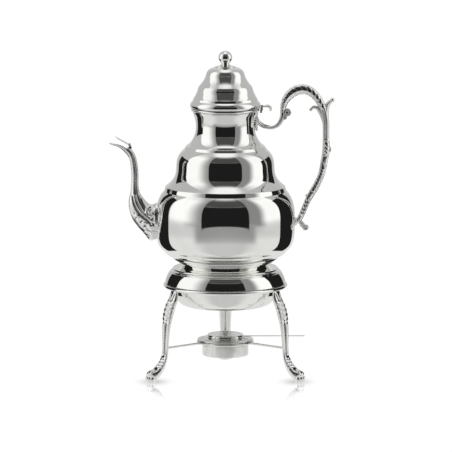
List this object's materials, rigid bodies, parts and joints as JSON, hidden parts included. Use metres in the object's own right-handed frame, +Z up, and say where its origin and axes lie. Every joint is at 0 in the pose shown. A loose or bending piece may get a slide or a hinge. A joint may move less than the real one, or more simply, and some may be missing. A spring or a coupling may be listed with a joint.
{
  "type": "coffee pot on a spirit-burner warmer",
  "caption": "Tall tiered silver-plated coffee pot with a hinged bell lid, curved spout with a flap and scroll handle, lifting off a footed warmer with a spirit burner.",
  "frame": {"origin": "on the table, in the middle of the object's outline seen from above; the pot's own axis stands 4.6 mm towards the handle and 11.75 mm towards the front of it", "axes": "+Z up, the spout towards -X, the handle and the lid's hinge towards +X, the third leg at the back towards +Y"},
  "size_m": [0.2706, 0.1911, 0.3949],
  "materials": {
    "polished_silver": "mirror-polished silver plate on raised brass sheet",
    "cast_silver": "chased silver-plated casting, bright on the high places and grey in the hollows",
    "plain_silver": "bright silver plate with fine turning marks",
    "brass": "turned brass, unplated",
    "wick": "braided cotton wick"
  },
  "bodies": {
    "warmer": {"stand_collar": "polished_silver", "stand_dome": "polished_silver", "stand_rim_bead": "polished_silver", "stand_bowl": "polished_silver", "stand_bowl_floor": "polished_silver", "leg_left": "cast_silver", "leg_right": "cast_silver", "leg_rear": "cast_silver", "burner_ring": "plain_silver", "strut_left": "plain_silver", "strut_right": "plain_silver", "strut_rear": "plain_silver"},
    "pot": {"pot_body": "polished_silver", "pot_tier": "polished_silver", "pot_neck": "polished_silver", "foot_ring": "polished_silver", "mouth_ring": "polished_silver", "spout": "cast_silver", "spout_flap_bracket": "cast_silver", "spout_flap_pin": "plain_silver", "handle": "cast_silver", "handle_upper_socket": "cast_silver", "handle_lower_socket": "cast_silver", "hinge_body_leaf": "cast_silver", "hinge_pin": "plain_silver"},
    "lid": {"lid_shell": "polished_silver", "lid_skirt": "polished_silver", "lid_bezel": "plain_silver", "lid_finial": "polished_silver", "finial_nut": "brass", "hinge_lid_leaf": "cast_silver", "thumb_piece": "cast_silver"},
    "spout_flap": {"spout_flap": "cast_silver"},
    "burner": {"burner_can": "plain_silver", "burner_cover": "plain_silver", "wick_holder": "brass", "wick": "wick"},
    "snuffer": {"snuffer_cap": "plain_silver", "snuffer_handle": "plain_silver"}
  },
  "joints": [
    {"name": "pot_lift", "type": "slide", "parent": "warmer", "child": "pot", "axis": [0, 0, 1], "range_m": [0, 0.08]},
    {"name": "lid_hinge", "type": "hinge", "parent": "pot", "child": "lid", "pos_m": [0.0482, -0.01175, 0.3244], "axis": [0, 1, 0], "range_deg": [0, 75]},
    {"name": "spout_flap_hinge", "type": "hinge", "parent": "pot", "child": "spout_flap", "pos_m": [-0.1111, -0.01175, 0.2812], "axis": [0, 1, 0], "range_deg": [0, 55]},
    {"name": "burner_lift", "type": "slide", "parent": "warmer", "child": "burner", "axis": [0, 0, 1], "range_m": [0, 0.02]},
    {"name": "snuffer_lift", "type": "slide", "parent": "burner", "child": "snuffer", "axis": [0, 0, 1], "range_m": [0, 0.012]}
  ]
}
